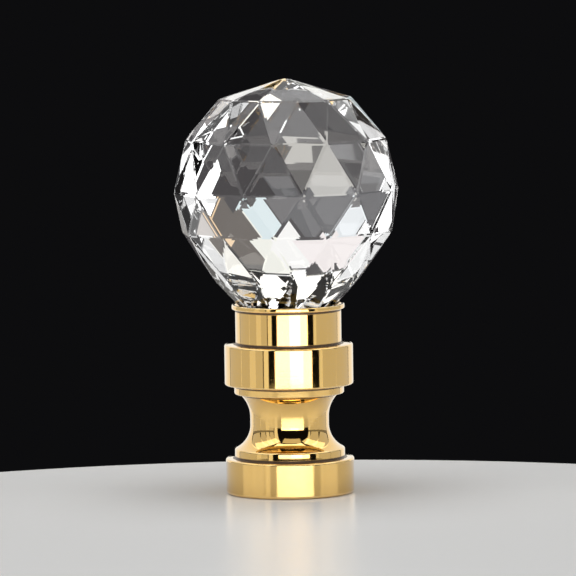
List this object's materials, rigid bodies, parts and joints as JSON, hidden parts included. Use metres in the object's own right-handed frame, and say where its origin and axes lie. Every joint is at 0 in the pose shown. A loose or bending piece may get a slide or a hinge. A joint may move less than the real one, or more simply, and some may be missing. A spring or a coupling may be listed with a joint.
{
  "type": "lamp shade finial",
  "caption": "Lamp shade finial: a clear cut crystal ball seated in a turned, polished brass base with a threaded socket underneath.",
  "frame": {"origin": "centre of the underside of the base, where it rests", "axes": "+Z is the upright turning axis, from the underside to the ball's top point; -Y is the front seen in the picture"},
  "size_m": [0.0298, 0.0298, 0.0551],
  "materials": {
    "crystal": "clear, cut and polished facets",
    "polished_brass": "turned, mirror polished and lacquered"
  },
  "bodies": {
    "root": {"crystal_ball": "crystal", "brass_base": "polished_brass"}
  },
  "joints": []
}
